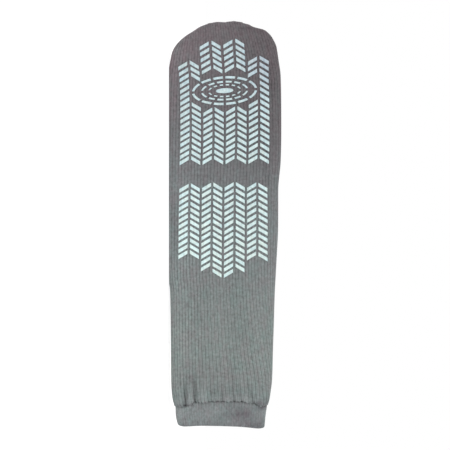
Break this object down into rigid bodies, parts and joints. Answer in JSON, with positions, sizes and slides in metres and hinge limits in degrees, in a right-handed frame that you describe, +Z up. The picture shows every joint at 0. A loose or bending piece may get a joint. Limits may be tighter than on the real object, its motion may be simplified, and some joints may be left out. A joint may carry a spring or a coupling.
{
  "type": "slipper sock",
  "caption": "Heelless knitted tube slipper sock with a gathered turned cuff, a closed toe and a chevron grip print on the sole, lying empty on its side.",
  "frame": {"origin": "middle of the sock's footprint, on the floor that its lower folded side lies on", "axes": "+X from the toe to the mouth, +Z up across the sock's width, sole facing -Y and instep facing +Y"},
  "size_m": [0.37, 0.0412, 0.1016],
  "materials": {
    "knit": "fine vertical-rib knit, matt, darker and warmer at the toe",
    "cuff_knit": "double-layer turned rib welt, matt",
    "seam_thread": "overlocked closing seam of the toe, matt",
    "grip_print": "pale aqua silicone-like print, slight satin gloss"
  },
  "bodies": {
    "root": {"cuff": "cuff_knit", "toe_seam": "seam_thread", "tread_forefoot_row_00_full": "grip_print", "tread_forefoot_row_01_full": "grip_print", "tread_forefoot_row_02_full": "grip_print", "tread_forefoot_row_03_full": "grip_print", "tread_forefoot_row_04_full": "grip_print", "tread_forefoot_row_05_full": "grip_print", "tread_forefoot_row_06_full": "grip_print", "tread_forefoot_row_07_full": "grip_print", "tread_forefoot_row_08_full": "grip_print", "tread_forefoot_row_09_lower": "grip_print", "tread_forefoot_row_09_upper": "grip_print", "tread_forefoot_row_10_lower": "grip_print", "tread_forefoot_row_10_upper": "grip_print", "tread_forefoot_row_11_lower": "grip_print", "tread_forefoot_row_11_upper": "grip_print", "tread_forefoot_row_12_lower": "grip_print", "tread_forefoot_row_12_upper": "grip_print", "tread_forefoot_row_13_lower": "grip_print", "tread_forefoot_row_13_upper": "grip_print", "tread_forefoot_row_14_lower": "grip_print", "tread_forefoot_row_14_upper": "grip_print", "tread_forefoot_row_15_full": "grip_print", "tread_forefoot_row_16_full": "grip_print", "tread_forefoot_row_17_middle": "grip_print", "tread_forefoot_row_18_middle": "grip_print", "tread_forefoot_row_19_middle": "grip_print", "tread_heel_row_00_full": "grip_print", "tread_heel_row_01_full": "grip_print", "tread_heel_row_02_full": "grip_print", "tread_heel_row_03_full": "grip_print", "tread_heel_row_04_full": "grip_print", "tread_heel_row_05_full": "grip_print", "tread_heel_row_06_full": "grip_print", "tread_heel_row_07_full": "grip_print", "tread_heel_row_08_full": "grip_print", "tread_heel_row_09_full": "grip_print", "tread_heel_row_10_full": "grip_print", "tread_heel_row_11_full": "grip_print", "tread_heel_row_12_middle": "grip_print", "tread_heel_row_13_middle": "grip_print", "tread_heel_row_14_middle": "grip_print", "tread_target_oval": "grip_print", "tread_target_ring_1": "grip_print", "tread_target_ring_2": "grip_print", "tread_target_ring_3": "grip_print", "upper": "knit"}
  },
  "joints": []
}
